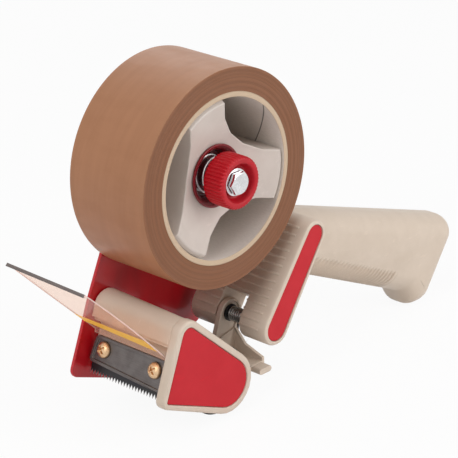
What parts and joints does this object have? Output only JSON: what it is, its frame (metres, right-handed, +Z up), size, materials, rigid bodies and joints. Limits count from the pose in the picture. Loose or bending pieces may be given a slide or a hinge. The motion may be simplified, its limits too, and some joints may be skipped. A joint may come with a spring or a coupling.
{
  "type": "packing tape dispenser",
  "caption": "Pistol-grip packing tape dispenser with a roll on a tensioned hub, rubber roller, saw-toothed blade, clear flap and sprung brake lever.",
  "frame": {"origin": "on the table under the middle of the whole tool, which stands on its roller and the grip's hook", "axes": "+Z up, +X from the blade to the grip, +Y along the axles from the open side with the cheek to the steel side plate"},
  "size_m": [0.2659, 0.0674, 0.168],
  "materials": {
    "cream_plastic": "satin moulded",
    "red_plastic": "smooth",
    "dark_red_plastic": "smooth",
    "red_paint": "gloss",
    "steel": "plain",
    "clamp_steel": "dark satin",
    "blade_steel": "dark hardened",
    "yellow_zinc": "yellow zinc plate on steel",
    "bright_zinc": "bright plate",
    "black_rubber": "matt",
    "black_steel": "matt",
    "nylon": "smooth",
    "cardboard": "wound board",
    "brown_tape": "wound film",
    "clear_sheet": "clear flexible plastic sheet"
  },
  "bodies": {
    "frame": {"side_plate": "red_paint", "head_housing": "cream_plastic", "head_inlay": "red_plastic", "blade": "blade_steel", "blade_clamp": "clamp_steel", "blade_screw_far": "yellow_zinc", "blade_screw_near": "yellow_zinc", "roller_axle": "steel", "axle_clip": "steel", "handle": "cream_plastic", "handle_inlay": "red_plastic", "head_screw_1": "steel", "head_screw_2": "steel", "handle_screw_1": "steel", "handle_screw_2": "steel", "lever_pin": "steel", "lever_washer": "black_steel", "lever_spring": "steel", "thrust_washer": "nylon", "hub_post": "steel", "spring_cup": "dark_red_plastic", "tension_spring": "steel", "plate_nut": "steel"},
    "roll": {"hub": "cream_plastic", "hub_bearing": "nylon", "tape_core": "cardboard", "tape_roll": "brown_tape"},
    "roller": {"roller_sleeve": "black_rubber", "roller_core": "cream_plastic", "roller_bush_near": "nylon", "roller_bush_far": "nylon"},
    "lever": {"brake_lever": "cream_plastic"},
    "flap_sheet": {"flap": "clear_sheet"},
    "tension_washer": {"bolt_washer": "bright_zinc"},
    "tension_bolt_and_knob": {"tension_knob": "red_plastic", "tension_bolt": "bright_zinc"}
  },
  "joints": [
    {"name": "roll_spin", "type": "hinge", "parent": "frame", "child": "roll", "pos_m": [-0.0458, 0, 0.116], "axis": [0, 1, 0], "continuous": true},
    {"name": "roller_spin", "type": "hinge", "parent": "frame", "child": "roller", "pos_m": [-0.052, 0, 0.017], "axis": [0, 1, 0], "continuous": true},
    {"name": "lever_swing", "type": "hinge", "parent": "frame", "child": "lever", "pos_m": [-0.0216, 0, 0.0352], "axis": [0, -1, 0], "range_deg": [0, 18], "stiffness_Nm_per_rad": 0.05, "springref_deg": -22.92},
    {"name": "flap_bend", "type": "hinge", "parent": "frame", "child": "flap_sheet", "pos_m": [-0.08463, 0, 0.03831], "axis": [0, 1, 0], "range_deg": [-25, 14], "stiffness_Nm_per_rad": 0.05},
    {"name": "tension_travel", "type": "slide", "parent": "frame", "child": "tension_washer", "axis": [0, 1, 0], "range_m": [-0.002, 0.0015], "deforming": ["tension_spring"]},
    {"name": "tension_turn", "type": "hinge", "parent": "tension_washer", "child": "tension_bolt_and_knob", "pos_m": [-0.0458, 0, 0.116], "axis": [0, 1, 0], "range_deg": [-720, 540]}
  ],
  "couplings": [
    {"joint": "tension_turn", "follows": "tension_travel", "rad_per_m": 6283.2}
  ]
}
